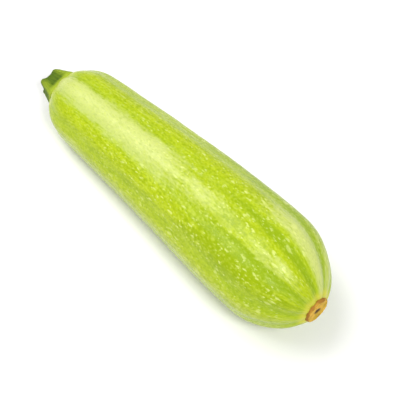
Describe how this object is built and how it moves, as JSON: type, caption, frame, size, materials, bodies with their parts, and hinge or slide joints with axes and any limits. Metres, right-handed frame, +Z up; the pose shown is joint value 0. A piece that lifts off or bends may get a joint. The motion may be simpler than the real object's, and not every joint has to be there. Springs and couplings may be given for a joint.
{
  "type": "zucchini",
  "caption": "Light green zucchini lying on its side: a softly ribbed tapered fruit with a short cut stem at the thin end and a corky blossom scar at the thick end.",
  "frame": {"origin": "on the surface that the fruit lies on, under the middle of the whole object", "axes": "+X along the fruit from the stem to the blossom end, +Y towards the side that the gentle bend bulges to, +Z up"},
  "size_m": [0.2038, 0.0606, 0.0617],
  "materials": {
    "fruit_skin": "waxy light green skin with pale flecks and soft gloss",
    "stem_skin": "dark green fibrous stalk, matte",
    "scar_cork": "dry tan cork, rough"
  },
  "bodies": {
    "root": {"fruit": "fruit_skin", "stem": "stem_skin", "blossom_scar": "scar_cork"}
  },
  "joints": []
}
